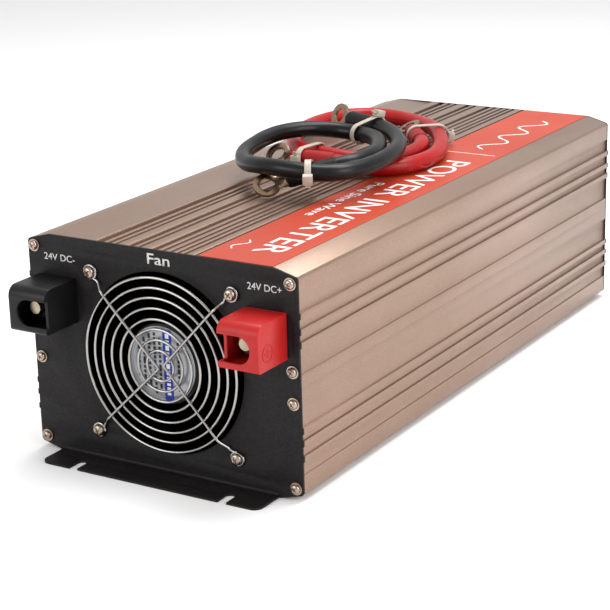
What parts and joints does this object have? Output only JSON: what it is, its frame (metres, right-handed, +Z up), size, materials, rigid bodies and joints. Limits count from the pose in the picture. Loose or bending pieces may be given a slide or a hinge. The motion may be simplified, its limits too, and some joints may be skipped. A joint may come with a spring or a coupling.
{
  "type": "power inverter",
  "caption": "Boxy power inverter: ribbed extruded metal case, guarded round fan, covered battery terminals, mains outlets, and red and black battery cables coiled on the lid.",
  "frame": {"origin": "on the floor, under the middle of the case's bounding box without the loose cables", "axes": "+X to the right seen from the fan end, +Y from the fan end to the outlet end, +Z up"},
  "size_m": [0.2016, 0.518, 0.1749],
  "materials": {
    "case_coat": "fine champagne powder coat",
    "label_film": "satin printed film",
    "black_coat": "textured black powder coat",
    "screw_steel": "nickel plated",
    "guard_wire": "bright plated wire",
    "fan_plastic": "moulded",
    "bearing_steel": "ground",
    "winding_copper": "enamelled copper",
    "sticker_foil": "brushed foil",
    "lead_skin": "soft insulation",
    "magnet": "sintered ring",
    "block_plastic": "moulded",
    "stud_metal": "plated",
    "cover_red": "moulded",
    "cover_black": "moulded",
    "busbar_copper": "copper bar",
    "board": "solder mask",
    "standoff_brass": "turned",
    "ferrite": "ferrite",
    "bobbin_tape": "taped winding",
    "can_sleeve": "sleeved can",
    "sink_aluminium": "mill finish",
    "transistor_body": "moulded",
    "fuse_body": "moulded",
    "outlet_plastic": "moulded",
    "contact_brass": "stamped",
    "harness_skin": "soft insulation",
    "rocker_red": "moulded",
    "lamp_lens": "tinted lens",
    "socket_plastic": "moulded",
    "cable_red": "satin jacket",
    "cable_black": "satin jacket",
    "tinned_copper": "tinned",
    "sleeve_red": "heat-shrunk sleeve",
    "sleeve_black": "heat-shrunk sleeve",
    "tie_nylon": "natural nylon"
  },
  "bodies": {
    "inverter": {"top_case": "case_coat", "bottom_case": "case_coat", "front_plate": "black_coat", "rear_plate": "black_coat", "front_screws": "screw_steel", "front_washers": "screw_steel", "rear_screws": "screw_steel", "rear_washers": "screw_steel", "top_label": "label_film", "fan_guard": "guard_wire", "fan_screws": "screw_steel", "fan_nuts": "screw_steel", "fan_frame": "fan_plastic", "fan_bearings": "bearing_steel", "fan_stator": "winding_copper", "fan_sticker": "sticker_foil", "fan_lead": "lead_skin", "terminal_blocks": "block_plastic", "terminal_studs": "stud_metal", "terminal_nuts": "stud_metal", "terminal_washers": "screw_steel", "busbars": "busbar_copper", "main_board": "board", "board_standoffs": "standoff_brass", "board_screws": "screw_steel", "transformers": "ferrite", "transformer_windings": "bobbin_tape", "input_capacitors": "can_sleeve", "output_capacitors": "can_sleeve", "output_inductor": "winding_copper", "heat_sink_bars": "sink_aluminium", "transistors": "transistor_body", "fuses": "fuse_body", "control_board": "board", "ac_outlets": "outlet_plastic", "ac_contacts": "contact_brass", "ac_harness": "harness_skin", "switch_frame": "block_plastic", "indicator_lights": "lamp_lens", "remote_socket": "socket_plastic", "ground_stud": "stud_metal", "ground_nut": "stud_metal"},
    "rotor": {"fan_rotor": "fan_plastic", "fan_magnet": "magnet", "fan_shaft": "bearing_steel"},
    "positive_cover": {"positive_cover": "cover_red"},
    "negative_cover": {"negative_cover": "cover_black"},
    "rocker": {"switch_rocker": "rocker_red"},
    "red_cable": {"red_cable": "cable_red", "red_lugs": "tinned_copper", "red_sleeves": "sleeve_red", "red_ties": "tie_nylon"},
    "black_cable": {"black_cable": "cable_black", "black_lugs": "tinned_copper", "black_sleeves": "sleeve_black", "black_ties": "tie_nylon"}
  },
  "joints": [
    {"name": "fan_spin", "type": "hinge", "parent": "inverter", "child": "rotor", "pos_m": [0.0013, -0.21, 0.0727], "axis": [0, 1, 0], "continuous": true},
    {"name": "positive_cover_pull", "type": "slide", "parent": "inverter", "child": "positive_cover", "axis": [0, -1, 0], "range_m": [0, 0.06]},
    {"name": "negative_cover_pull", "type": "slide", "parent": "inverter", "child": "negative_cover", "axis": [0, -1, 0], "range_m": [0, 0.06]},
    {"name": "rocker_switch", "type": "hinge", "parent": "inverter", "child": "rocker", "pos_m": [0, 0.2325, 0.092], "axis": [1, 0, 0], "range_deg": [0, 16]},
    {"name": "red_cable_lift", "type": "slide", "parent": "inverter", "child": "red_cable", "axis": [0, 0, 1], "range_m": [0, 0.08]},
    {"name": "black_cable_lift", "type": "slide", "parent": "red_cable", "child": "black_cable", "axis": [0, 0, 1], "range_m": [0, 0.08]}
  ]
}
